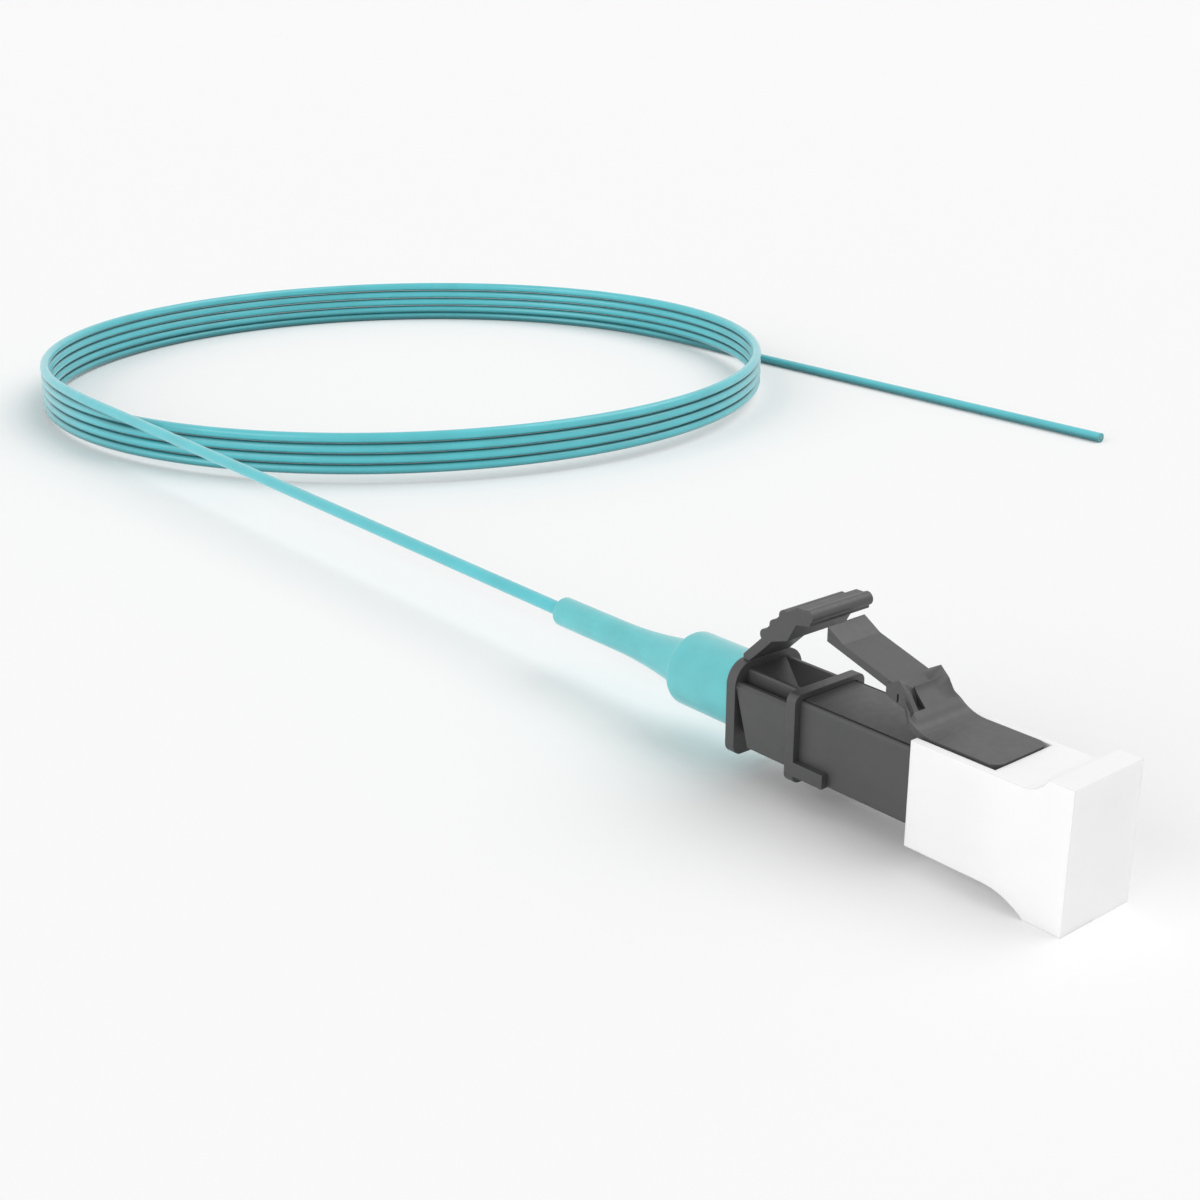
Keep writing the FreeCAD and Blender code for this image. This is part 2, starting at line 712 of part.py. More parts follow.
def dust_cap():
    """The push-on dust cap: a box over the housing's front, a slot for the tongue, and a flange to pull
    it by that flares out of the body at the top and at the bottom, where it is the plug's foot."""
    body = new_body("dust_cap")
    foot_start = "cap_front - cap_foot_length"
    lip_start = "cap_front - cap_lip_length"
    floor = "(axis_height - housing_width / 2 - cap_gap - cap_floor_wall)"
    top = f"({ROOF} + cap_gap + cap_roof_wall)"
    low_radius = f"(cap_foot_flare ^ 2 + {floor} ^ 2) / (2 * {floor})"
    high_radius = "(cap_flare ^ 2 + cap_flange_rise ^ 2) / (2 * cap_flange_rise)"
    side = new_sketch(body, "cap_side", "XZ_Plane")
    outline(side, [
        ("cap_rear", floor),
        (f"{foot_start} - cap_foot_flare", floor, f"-{low_radius}"),
        (foot_start, "0"),
        ("cap_front", "0"),
        ("cap_front", f"{top} + cap_flange_rise"),
        (lip_start, f"{top} + cap_flange_rise", f"-{high_radius}"),
        (f"{lip_start} - cap_flare", top),
        ("cap_rear", top),
    ])
    pad(body, side, "housing_width + 2 * (cap_gap + cap_wall)", both_sides=True)
    half = "housing_width / 2 + cap_gap"
    cavity = new_sketch(body, "cap_cavity", "YZ_Plane", "cap_rear")
    rounded_rectangle(cavity, f"-({half})", half, f"axis_height - ({half})",
                      f"{ROOF} + cap_gap", "housing_corner")
    pocket(body, cavity, "housing_front + cap_gap - cap_rear")
    slot = new_sketch(body, "tongue_slot", "XY_Plane", ROOF)
    wide = f"{TONGUE_HALF} + slot_gap"
    outline(slot, [
        ("cap_rear", f"-({wide})"),
        ("housing_front + cap_gap", f"-({wide})"),
        ("housing_front + cap_gap", wide),
        ("cap_rear", wide),
    ])
    pocket(body, slot, top)
    bore = new_sketch(body, "ferrule_room", "YZ_Plane", "housing_front")
    circle(bore, "0", "axis_height", "cap_bore")
    pocket(body, bore, "cap_bore_front - housing_front")
    return body


def round_bar(name, start, end, radius):
    """A plain round bar along the plug's axis from one expression to another."""
    bar = DOC.addObject("Part::Cylinder", name)
    bar.setExpression("Radius", bind(radius))
    bar.setExpression("Height", bind(f"{end} - ({start})"))
    bar.Placement.Rotation = FreeCAD.Rotation(FreeCAD.Vector(0, 1, 0), 90)
    bar.setExpression("Placement.Base.x", bind(start))
    bar.setExpression("Placement.Base.z", bind("axis_height"))
    return bar


def inner_lead():
    """The buffered fibre inside the boot and the post, up to where its buffer is stripped."""
    return round_bar("inner_lead", "boot_end", "ferrule_rear - fibre_gap", "cord_radius")


def bare_fibre():
    """The stripped glass fibre, bonded in the ferrule's bore."""
    return round_bar("bare_fibre", "ferrule_rear", "ferrule_tip", "fibre_radius")


def cord_lead():
    """The straight stretch of cord from the boot's end to the coil."""
    return round_bar("cord_lead", "lead_end", "boot_end", "cord_radius")


def cord_coil():
    """The coil's outer shape: a ring that lies on the floor, as wide as the cord and as high as its turns."""
    body = new_body("cord_coil")
    section = new_sketch(body, "coil_section", "XZ_Plane")
    rounded_rectangle(section, "coil_radius - cord_radius", "coil_radius + cord_radius", "0",
                      "(coil_turns + 1) * 2 * cord_radius", "cord_radius * 0.9")
    ring = body.newObject("PartDesign::Revolution", "coil_ring")
    ring.Profile = section
    ring.ReferenceAxis = (next(f for f in body.Origin.OriginFeatures if f.Role == "Z_Axis"), [""])
    ring.Angle = 360
    body.setExpression("Placement.Base.x", bind("coil_x"))
    body.setExpression("Placement.Base.y", bind("coil_radius"))
    return body


def cord_tail():
    """The straight tail that leaves the coil's far side along the floor and ends in a plain cut."""
    tail = round_bar("cord_tail", "coil_x + 6 * cord_radius", "tail_end", "cord_radius")
    tail.setExpression("Placement.Base.y", bind("coil_radius * 2"))
    tail.setExpression("Placement.Base.z", bind("cord_radius"))
    return tail


PIECES = [housing, latch_arm, trigger_clip, trigger_arm, ferrule, ferrule_flange, ferrule_spring, back_post,
          boot, dust_cap, inner_lead, bare_fibre, cord_lead, cord_coil, cord_tail]


def main():
    made = [build() for build in PIECES]
    DOC.recompute()
    os.makedirs("parts", exist_ok=True)
    for thing in made:
        shape = thing.Shape
        bad = [o.Name for o in DOC.Objects if "Invalid" in o.State or "Error" in o.State]
        if bad or shape.isNull() or not shape.isValid() or len(shape.Solids) != 1:
            raise RuntimeError(f"{thing.Label} is not one sound solid: {bad}")
        thing.Label = thing.Name
        shape.exportStep(f"parts/{thing.Label}.step")
        print(f"{thing.Label:16s} volume {shape.Volume:9.3f} mm3")


main()
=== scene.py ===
"""Dresses the packed fibre pigtail and sets it on white ground.

The plug's rigid pieces stay as they are packed and get their finishes here, and a web leads the latch's
root smoothly into its arm. The boot is turned from its profile. The ferrule's spring is wound, and the lead
behind the ferrule is laid. The cord is one spline that runs straight out of the boot, lies in a coil and
runs straight out of it again to the cut end, where the coated fibre shows.
"""

import bmesh
import bpy
import numpy as np
from mathutils import Matrix, Vector


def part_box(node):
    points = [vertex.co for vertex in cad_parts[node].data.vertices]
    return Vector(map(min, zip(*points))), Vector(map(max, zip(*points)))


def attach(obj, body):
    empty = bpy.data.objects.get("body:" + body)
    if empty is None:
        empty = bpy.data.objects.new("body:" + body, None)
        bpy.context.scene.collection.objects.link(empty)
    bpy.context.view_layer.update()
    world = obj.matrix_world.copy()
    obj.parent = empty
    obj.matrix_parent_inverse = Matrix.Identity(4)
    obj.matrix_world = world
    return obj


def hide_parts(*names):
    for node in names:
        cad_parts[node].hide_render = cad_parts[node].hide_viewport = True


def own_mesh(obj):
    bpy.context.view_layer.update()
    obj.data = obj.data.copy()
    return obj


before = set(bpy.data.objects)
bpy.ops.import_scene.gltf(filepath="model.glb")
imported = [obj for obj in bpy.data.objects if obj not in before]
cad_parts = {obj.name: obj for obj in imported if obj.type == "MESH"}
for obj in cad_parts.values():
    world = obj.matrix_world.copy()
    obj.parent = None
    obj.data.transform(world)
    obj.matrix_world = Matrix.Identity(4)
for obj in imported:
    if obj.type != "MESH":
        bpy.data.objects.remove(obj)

bl_info = {
    "name": "Fibre pigtail",
    "version": (1, 0, 0),
    "blender": (4, 2, 0),
    "location": "View3D > Sidebar > Pigtail",
    "description": "Makes the latch's web, boot, spring, leads, finishes and stage of a fibre pigtail",
    "category": "Object",
}

MM = 0.001

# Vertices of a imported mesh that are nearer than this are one.
MERGE = 1e-7

# Edges of the latch that turn by more degrees than this stay sharp.
SHARP_DEGREES = 9.0

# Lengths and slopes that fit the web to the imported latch.
HAIR = 0.01 * MM
WEB_LIFT = 0.03 * MM
WEB_SINK = 0.05 * MM
WEB_DEPTH = 0.3 * MM
WEB_LEAST = 0.05 * MM
WEB_FADE = 0.5 * MM
WEB_FRONT_OVERLAP = 0.004 * MM
WEB_REAR_OVERLAP = 0.02 * MM
CREST_SHARE = 0.4
RAMP_DEPTH = 0.585 * MM
FIN_MARGIN = 0.05 * MM
FIN_FALL = 0.57
FIN_FLOOR_DROP = 0.215 * MM
FIN_FLOOR_SLOPE = 0.318

# The soft gloss that the boot and the cord share.
SATIN = {"Coat_Weight": 0.5, "Coat_Roughness": 0.15, "Sheen_Weight": 0.4, "Sheen_Roughness": 0.25}


def length(name, description, millimetres):
    """A length setting, given in millimetres and kept in metres."""
    return bpy.props.FloatProperty(
        name=name, description=description, default=millimetres * MM, precision=5, unit="LENGTH")


def colour(name, description, red, green, blue):
    """A colour setting, in linear light."""
    return bpy.props.FloatVectorProperty(
        name=name, description=description, default=(red, green, blue), subtype="COLOR", min=0.0, max=1.0)


def share(name, description, amount):
    """A setting from 0 to 1."""
    return bpy.props.FloatProperty(
        name=name, description=description, default=amount, subtype="FACTOR", min=0.0, max=1.0)


class CordSettings(bpy.types.PropertyGroup):
    """The cord's route and its jacket."""
    diameter: length("Diameter", "Outside diameter of the jacket", 0.9)
    start_x: length("Start", "Where the cord leaves the boot, along the plug", -20)
    start_z: length("Start height", "Height of the plug's axis", 4.05)
    coil_x: length("Coil place", "The coil's centre along the plug", -91.8)
    coil_y: length("Coil offset", "The coil's centre beside the plug", 36.7)
    coil_radius: length("Coil radius", "From the coil's centre to the middle of the cord", 36.53)
    coil_top: length("Coil top", "Height of the cord where it enters the coil", 4.62)
    lean: length("Lean", "How much higher the coil lies on its plug side", 0.3)
    end_x: length("End", "Where the cut end lies, along the plug", -31.2)
    end_y: length("End offset", "Where the cut end lies, beside the plug", 73.4)
    turns: bpy.props.FloatProperty(name="Turns", description="Turns in the coil", default=4.5)
    tuck: length("Tuck", "How far inside the boot the cord starts", 0.5)
    jacket: colour("Jacket", "Colour of the jacket", 0.085, 0.55, 0.61)
    fibre_diameter: length("Fibre", "Diameter of the coated fibre at the cut end", 0.25)
    stub_depth: length("Stub depth", "How deep the fibre's stub sits in the cut end", 0.2)
    stub_proud: length("Stub proud", "How far the fibre stands out of the cut end", 0.03)
    stub_chamfer: length("Stub chamfer", "Chamfer on the fibre's end", 0.01)


class BootSettings(bpy.types.PropertyGroup):
    """The bend-relief boot's profile."""
    front: length("Front", "Where the collar meets the clip's plate", -2.51)
    shoulder: length("Shoulder", "Rear of the collar", -8.1)
    collar_radius: length("Collar radius", "Radius of the collar", 2.22)
    neck_radius: length("Neck radius", "Radius of the taper behind the collar", 1.56)
    sleeve_front: length("Sleeve front", "Where the taper ends in the sleeve", -14.4)
    sleeve_radius: length("Sleeve radius", "Radius of the sleeve", 0.94)
    end: length("End", "Rear end of the sleeve", -20)
    bore_radius: length("Bore radius", "Radius of the bore for the cord", 0.49)
    post_rear: length("Socket depth", "Bottom of the socket for the back post", -6.24)
    post_radius: length("Socket radius", "Radius of the socket for the back post", 1.46)
    rounding: length("Rounding", "Rounding of the shoulder's edge", 0.45)
    edge: length("Edge", "Rounding of the collar's front edge", 0.12)
    rubber: colour("Rubber", "Colour of the boot", 0.12, 0.55, 0.58)


class LatchSettings(bpy.types.PropertyGroup):
    """The web that leads smoothly from the tongue into the latch's arm."""
    root_x: length("Root", "Where the latch leaves the tongue", 11.39)
    root_z: length("Root height", "Top of the tongue", 6.83)
    heel_sweep: length("Heel sweep", "Radius of the root's upward sweep", 2.574)
    web_front: length("Web front", "Where the web starts on the sweep", 10.48)
    heel_x: length("Heel", "Where the fins start", 9.75)
    heel_z: length("Heel height", "Height of the web where the fins start", 7.62)
    bend_x: length("Bend", "Where the arm starts", 8.95)
    bend_z: length("Bend height", "Top of the arm where it starts", 8.4)
    web_rear: length("Web rear", "Where the web ends on the arm", 8.3)
    arm_slope: bpy.props.FloatProperty(
        name="Arm slope", description="Rise of the arm for its run", default=0.294)
    half_width: length("Half width", "From the latch's middle to the edge of its root", 2.03)
    fin_inside: length("Fin inside", "From the latch's middle to where a fin starts to rise", 0.65)
    fin_outside: length("Fin outside", "From the latch's middle to the outside of a fin", 1.6)
    nose_x: length("Nose", "Where a fin's outer edge bends at its front", 9.23)
    nose_z: length("Nose height", "Height of that bend", 8.5)
    peak_x: length("Peak", "Where a fin's outer edge is highest", 8.65)
    peak_z: length("Peak height", "Height of that place", 9.02)
    notch_edge: length("Notch edge", "From the latch's middle to the notch beside a fin", 0.75)
    softness: length("Softness", "Rounding between sweep, web and arm", 0.14)


class InsideSettings(bpy.types.PropertyGroup):
    """The pieces that give way when the ferrule is pushed back."""
    spring_radius: length("Spring radius", "From the plug's axis to the middle of the wire", 0.98)
    wire_radius: length("Wire radius", "Radius of the spring's wire", 0.1)
    spring_turns: bpy.props.FloatProperty(name="Spring turns", description="Turns of the spring", default=7.0)
    lead_radius: length("Lead radius", "Radius of the buffered fibre inside the plug", 0.45)


class FinishSettings(bpy.types.PropertyGroup):
    """Finishes of the pieces that stay as packed."""
    plastic: colour("Plastic", "Dark plastic of housing and clip", 0.058, 0.058, 0.059)
    plastic_roughness: share("Plastic roughness", "Roughness of the dark plastic", 0.46)
    plastic_gloss: share("Plastic gloss", "Strength of the dark plastic's reflection", 0.62)
    # Also how wide the highlight painted on the dark plastic's edges is.
    edge: length("Edge", "Rounding that the light shows on moulded edges", 0.07)
    cap: colour("Cap", "White plastic of the dust cap", 0.95, 0.95, 0.95)
    ceramic: colour("Ceramic", "Ferrule", 0.86, 0.85, 0.8)
    steel: colour("Steel", "Spring wire", 0.55, 0.56, 0.58)
    flange: colour("Flange", "Ferrule flange", 0.68, 0.66, 0.61)
    glass: colour("Fibre", "Bare fibre", 0.88, 0.92, 0.95)


class StageSettings(bpy.types.PropertyGroup):
    """Ground, light and camera."""
    ground: colour("Ground", "Colour of the ground", 0.985, 0.985, 0.985)
    ground_size: bpy.props.FloatProperty(
        name="Ground size", description="Side of the ground", default=12.0, unit="LENGTH")
    sky: share("Sky", "Strength of the light from all sides", 0.57)
    spread: bpy.props.FloatProperty(
        name="Spread", description="How wide each lamp is, in degrees", default=50.0)
    key_place: bpy.props.FloatVectorProperty(
        name="Key place", description="The side the key lamp shines from", default=(0.27, 0.5, 0.82))
    key_power: bpy.props.FloatProperty(name="Key power", description="Strength of the key lamp", default=1.05)
    fill_place: bpy.props.FloatVectorProperty(
        name="Fill place", description="The side the fill lamp shines from", default=(-0.05, -0.92, 0.38))
    fill_power: bpy.props.FloatProperty(
        name="Fill power", description="Strength of the fill lamp", default=0.98)
    lens: bpy.props.FloatProperty(
        name="Lens", description="Focal length in millimetres on a 36 mm sensor", default=52.43)
    camera: bpy.props.FloatVectorProperty(
        name="Camera", description="Where the camera stands", default=(0.06043, -0.06416, 0.04264),
        subtype="TRANSLATION", unit="LENGTH")
    looking: bpy.props.FloatVectorProperty(
        name="Looking", description="The way the camera looks", default=(-0.7202, 0.6017, -0.3454),
        subtype="DIRECTION")


class Shader:
    """A material's node tree, with short ways to add nodes and links to it."""

    def __init__(self, name):
        self.material = bpy.data.materials.new(name)
        self.material.use_nodes = True
        self.tree = self.material.node_tree
        self.surface = self.tree.nodes["Principled BSDF"]

    def node(self, kind, **inputs):
        """Adds a node and sets its inputs: a socket is linked, anything else is a constant."""
        added = self.tree.nodes.new(kind)
        for name, given in inputs.items():
            self.put(added.inputs[name.replace("_", " ")], given)
        return added

    def put(self, socket, given):
        """Links a socket into an input, or sets the input to a constant."""
        if isinstance(given, bpy.types.NodeSocket):
            self.tree.links.new(given, socket)
        else:
            socket.default_value = given

    def set(self, **inputs):
        """Sets inputs of the surface."""
        for name, given in inputs.items():
            self.put(self.surface.inputs[name.replace("_", " ")], given)

    def place(self):
        """The object's own coordinates, in metres."""
        return self.node("ShaderNodeTexCoord").outputs["Object"]

    def noise(self, size, detail=3.0, stretch=None):
        """Noise whose grains have about that size in metres, longer along x by stretch if given."""
        where = self.place()
        if stretch:
            scale = (1.0 / stretch, 1.0, 1.0)
            where = self.node("ShaderNodeMapping", Vector=where, Scale=scale).outputs["Vector"]
        return self.node("ShaderNodeTexNoise", Vector=where, Scale=1.0 / size, Detail=detail).outputs["Fac"]

    def range(self, fac, low, high, start=0.3, end=0.7):
        """A factor between start and end, spread from low to high."""
        spread = self.node("ShaderNodeMapRange", Value=fac)
        spread.inputs["From Min"].default_value = start
        spread.inputs["From Max"].default_value = end
        spread.inputs["To Min"].default_value = low
        spread.inputs["To Max"].default_value = high
        return spread.outputs["Result"]

    def mix(self, fac, first, second):
        """Two colours mixed by a factor."""
        mixed = self.tree.nodes.new("ShaderNodeMix")
        mixed.data_type = "RGBA"
        self.put(mixed.inputs[0], fac)
        self.put(mixed.inputs[6], first)
        self.put(mixed.inputs[7], second)
        return mixed.outputs[2]

    def clouded(self, rgb, size, detail, low, high):
        """A colour with clouds of about that size in metres, from its low tint to its high one."""
        clouds = self.range(self.noise(size, detail), 0.0, 1.0)
        return self.mix(clouds, tint(rgb, low), tint(rgb, high))

    def edges(self, radius):
        """The normal as if every edge were rounded, and a factor that is 1 on edges and 0 on flats."""
        rounded = self.node("ShaderNodeBevel", Radius=radius)
        rounded.samples = 8
        flat = self.node("ShaderNodeNewGeometry").outputs["Normal"]
        product = self.tree.nodes.new("ShaderNodeVectorMath")
        product.operation = "DOT_PRODUCT"
        self.put(product.inputs[0], rounded.outputs["Normal"])
        self.put(product.inputs[1], flat)
        return rounded.outputs["Normal"], self.range(product.outputs["Value"], 1.0, 0.0, 0.8, 1.0)

    def creases(self, reach):
        """A factor from ambient occlusion that falls from 1 on open surfaces to 0 in creases narrower than
        the reach in metres; mixed into a colour it paints shade.
        """
        hidden = self.node("ShaderNodeAmbientOcclusion", Distance=reach)
        hidden.samples = 8
        return hidden.outputs["AO"]

    def bump(self, fac, depth, strength=1.0, normal=None):
        """The normal of a surface raised by a factor times a depth in metres."""
        raised = self.node("ShaderNodeBump", Height=fac, Distance=depth, Strength=strength)
        if normal is not None:
            self.put(raised.inputs["Normal"], normal)
        return raised.outputs["Normal"]


def tint(rgb, amount):
    """A colour made lighter or darker, with its alpha."""
    return (min(1.0, rgb[0] * amount), min(1.0, rgb[1] * amount), min(1.0, rgb[2] * amount), 1.0)


def moulded(name, rgb, roughness, gloss, edge):
    """Moulded plastic: a fine eroded grain, clouds in colour and gloss, and rounded edges with a painted
    highlight.
    """
    shader = Shader(name)
    normal, painted_edge_highlight = shader.edges(edge)
    body = shader.clouded(rgb, 2.2 * MM, 4.0, 0.94, 1.07)
    shader.set(
        # Painted highlight: the colour goes to 1.6 times itself along the edges.
        Base_Color=shader.mix(painted_edge_highlight, body, tint(rgb, 1.6)),
        Roughness=shader.range(shader.noise(0.5 * MM), roughness - 0.03, roughness + 0.04),
        Specular_IOR_Level=gloss,
        Normal=shader.bump(shader.noise(0.05 * MM, 2.0), 2e-6, 0.4, normal))
    return shader.material


def white_plastic(name, rgb, edge):
    """Soft white plastic that lets a little light in."""
    shader = Shader(name)
    normal = shader.edges(edge)[0]
    shader.set(
        Base_Color=shader.clouded(rgb, 2.5 * MM, 3.0, 0.985, 1.015),
        Roughness=shader.range(shader.noise(0.7 * MM), 0.38, 0.5),
        Subsurface_Weight=0.25,
        Subsurface_Radius=(0.6, 0.6, 0.6),
        Subsurface_Scale=1.0 * MM,
        Normal=shader.bump(shader.noise(0.09 * MM, 2.0), 2e-6, 0.4, normal))
    return shader.material


def rubber(name, rgb):
    """Soft satin rubber: fine grain and slightly lighter, drier patches."""
    shader = Shader(name)
    shader.set(
        Base_Color=shader.clouded(rgb, 1.8 * MM, 4.0, 0.93, 1.06),
        Roughness=shader.range(shader.noise(0.4 * MM), 0.32, 0.42),
        Subsurface_Weight=0.1,
        Subsurface_Radius=(0.2, 0.6, 0.6),
        Subsurface_Scale=0.6 * MM,
        Normal=shader.bump(shader.noise(0.08 * MM, 3.0), 3e-6, 0.5),
        **SATIN)
    return shader.material


def jacket(name, rgb):
    """Satin cord jacket: clouds in its colour, a fine grain, and painted shade that darkens the creases
    between turns.
    """
    shader = Shader(name)
    body = shader.clouded(rgb, 4.0 * MM, 4.0, 0.94, 1.06)
    # Painted shade: ambient occlusion takes the colour down to 0.4 of itself in the creases between turns,
    # here and on the lead inside the plug.
    outside_painted_shade = shader.range(shader.creases(2.0 * MM), 0.0, 1.0, 0.5, 1.0)
    shader.set(
        Base_Color=shader.mix(outside_painted_shade, tint(rgb, 0.4), body),
        Roughness=shader.range(shader.noise(0.6 * MM), 0.3, 0.42),
        Normal=shader.bump(shader.noise(0.12 * MM, 3.0), 3e-6, 0.4),
        **SATIN)
    return shader.material


def turned_metal(name, rgb, roughness):
    """Metal with fine turning marks around its axis."""
    shader = Shader(name)
    marks = shader.noise(0.02 * MM, 2.0, 0.1)
    shader.set(
        Base_Color=tint(rgb, 1.0),
        Metallic=1.0,
        Roughness=shader.range(shader.noise(0.3 * MM), roughness - 0.06, roughness + 0.08),
        Normal=shader.bump(marks, 1e-6, 0.3))
    return shader.material


def polished_ceramic(name, rgb):
    """Polished ceramic under a clear gloss."""
    shader = Shader(name)
    shader.set(
        Base_Color=shader.clouded(rgb, 1.0 * MM, 3.0, 0.97, 1.02),
        Roughness=shader.range(shader.noise(0.4 * MM), 0.1, 0.2),
        Subsurface_Weight=0.15,
        Subsurface_Radius=(0.5, 0.5, 0.4),
        Subsurface_Scale=0.5 * MM,
        Coat_Weight=0.4,
        Coat_Roughness=0.05)
    return shader.material


def clear_glass(name, rgb):
    """Bare glass fibre, slightly cloudy."""
    shader = Shader(name)
    shader.set(
        Base_Color=tint(rgb, 1.0),
        Roughness=shader.range(shader.noise(0.1 * MM), 0.04, 0.12),
        Transmission_Weight=0.6,
        IOR=1.46)
    return shader.material


def put_material(piece, material):
    """Gives every slot of a piece this material."""
    if not piece.material_slots:
        piece.data.materials.append(material)
    for slot in piece.material_slots:
        slot.material = material


def ease(amount):
    """A share held between 0 and 1 that leaves and arrives softly: s s (3 - 2 s)."""
    held = np.clip(amount, 0.0, 1.0)
    return held * held * (3 - 2 * held)


def arc(centre_x, centre_r, radius, start, end, steps):
    """Points of an arc in the profile's plane, as two arrays, x and r."""
    angle = np.radians(np.linspace(start, end, steps))
    return centre_x + radius * np.cos(angle), centre_r + radius * np.sin(angle)


def run(x0, r0, x1, r1, steps):
    """Points of a straight stretch of a profile, its ends left out."""
    share_of = np.linspace(0.0, 1.0, steps + 2)[1:-1]
    return x0 + (x1 - x0) * share_of, r0 + (r1 - r0) * share_of


def skin(name, points, faces):
    """A smooth mesh object from an array of points and a list of faces."""
    mesh = bpy.data.meshes.new(name)
    mesh.from_pydata(points.reshape(-1, 3).tolist(), [], faces)
    mesh.shade_smooth()
    mesh.update()
    piece = bpy.data.objects.new(name, mesh)
    bpy.context.collection.objects.link(piece)
    return piece


def turned(name, profile, height, steps=112):
    """A closed profile turned around the plug's axis.

    Point (i, j) is (x_i, r_i sin a_j, height + r_i cos a_j), where a_j goes once round in equal steps, and
    the last row joins the first, so the skin is closed both ways.
    """
    x = np.concatenate([piece[0] for piece in profile])
    r = np.concatenate([piece[1] for piece in profile])
    angle = np.linspace(0.0, 2.0 * np.pi, steps, endpoint=False)
    points = np.stack([
        np.broadcast_to(x[:, None], (len(x), steps)),
        r[:, None] * np.sin(angle)[None, :],
        height + r[:, None] * np.cos(angle)[None, :]], axis=-1)
    row = np.arange(len(x))[:, None]
    column = np.arange(steps)[None, :]
    next_row = (row + 1) % len(x)
    next_column = (column + 1) % steps
    faces = np.stack([
        row * steps + column, row * steps + next_column,
        next_row * steps + next_column, next_row * steps + column], axis=-1)
    area = 0.5 * np.sum(x * np.roll(r, -1) - np.roll(x, -1) * r)
    quads = faces.reshape(-1, 4)
    if area > 0.0:
        quads = quads[:, ::-1]
    return skin(name, points, quads.tolist())


def tube(name, rings):
    """A tube through rings of points, ring by ring, closed around and by a flat face at each end.

    Face (i, j) joins points j and j + 1 of ring i to those of ring i + 1. Seen from ahead, each ring's points
    go anticlockwise, so the faces point outwards.
    """
    count, steps = rings.shape[:2]
    row = np.arange(count - 1)[:, None] * steps
    column = np.arange(steps)[None, :]
    next_column = (column + 1) % steps
    ahead = row + steps
    sides = np.stack([row + column, row + next_column, ahead + next_column, ahead + column], axis=-1)
    first = np.arange(steps)[::-1]
    last = np.arange(steps) + (count - 1) * steps
    return skin(name, rings, sides.reshape(-1, 4).tolist() + [first.tolist(), last.tolist()])


def bar(name, x, r, y, height, steps=24):
    """A round bar along the plug, with radius r_i at x_i.

    Point (i, j) is (x_i, y - r_i sin a_j, height + r_i cos a_j), where a_j goes once round in equal steps.
    """
    angle = np.linspace(0.0, 2.0 * np.pi, steps, endpoint=False)
    return tube(name, np.stack([
        np.broadcast_to(x[:, None], (len(x), steps)),
        y - r[:, None] * np.sin(angle)[None, :],
        height + r[:, None] * np.cos(angle)[None, :]], axis=-1))


def helix(name, start, end, radius, wire, turns, height, per_turn=36, sides=12):
    """A wire wound around the plug's axis from start to end.

    Its middle is (x, -radius sin t, height + radius cos t), where t grows evenly with x, and each ring around
    it lies across the wire's own direction.
    """
    around = np.linspace(0.0, 2.0 * np.pi * turns, int(turns * per_turn) + 1)[:, None]
    nothing = np.zeros_like(around)
    outward = np.concatenate([nothing, -np.sin(around), np.cos(around)], axis=1)
    middle = radius * outward + np.array([0.0, 0.0, height])
    rise = end - start - 2 * wire
    middle[:, :1] = start + wire + rise * around / around[-1]
    climb = rise / around[-1]
    along = np.concatenate([nothing + climb, -radius * np.cos(around), -radius * np.sin(around)], axis=1)
    along /= np.linalg.norm(along, axis=1, keepdims=True)
    across = np.cross(along, outward)
    angle = np.linspace(0.0, 2.0 * np.pi, sides, endpoint=False)[None, :, None]
    ring = np.cos(angle) * outward[:, None] + np.sin(angle) * across[:, None]
    return tube(name, middle[:, None] + wire * ring)


class PIGTAIL_OT_boot(bpy.types.Operator):
    """Turn the bend-relief boot from its profile"""
    bl_idname = "pigtail.boot"
    bl_label = "Boot"

    def execute(self, context):
        size = context.scene.pigtail_boot
        edge = size.edge
        inner = size.collar_radius - size.rounding
        lip = size.rounding / 2
        drop = size.neck_radius - size.sleeve_radius
        run_back = size.shoulder - size.sleeve_front
        sweep = (run_back ** 2 + drop ** 2) / (2 * drop)
        tip = np.degrees(np.arcsin(run_back / sweep))
        profile = [
            arc(size.front - edge, size.collar_radius - edge, edge, 0, 90, 7),
            run(size.front - edge, size.collar_radius,
                size.shoulder + size.rounding, size.collar_radius, 8),
            arc(size.shoulder + size.rounding, inner, size.rounding, 90, 180, 14),
            run(size.shoulder, inner, size.shoulder, size.neck_radius, 1),
            arc(size.sleeve_front, size.sleeve_radius + sweep, sweep, -90 + tip, -90, 30),
            run(size.sleeve_front, size.sleeve_radius, size.end + lip, size.sleeve_radius, 8),
            arc(size.end + lip, size.sleeve_radius - lip, lip, 90, 180, 10),
            run(size.end, size.sleeve_radius - lip, size.end, size.bore_radius + edge / 2, 1),
            arc(size.end + edge / 2, size.bore_radius + edge / 2, edge / 2, 180, 270, 5),
            run(size.end + edge / 2, size.bore_radius, size.post_rear, size.bore_radius, 6),
            (np.array([size.post_rear, size.post_rear]), np.array([size.bore_radius, size.post_radius])),
            run(size.post_rear, size.post_radius, size.front, size.post_radius, 3),
            (np.array([size.front]), np.array([size.post_radius])),
        ]
        boot = turned("boot_skin", profile, context.scene.pigtail_cord.start_z)
        put_material(boot, rubber("boot_rubber", size.rubber))
        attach(boot, "base")
        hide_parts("boot")
        return {"FINISHED"}


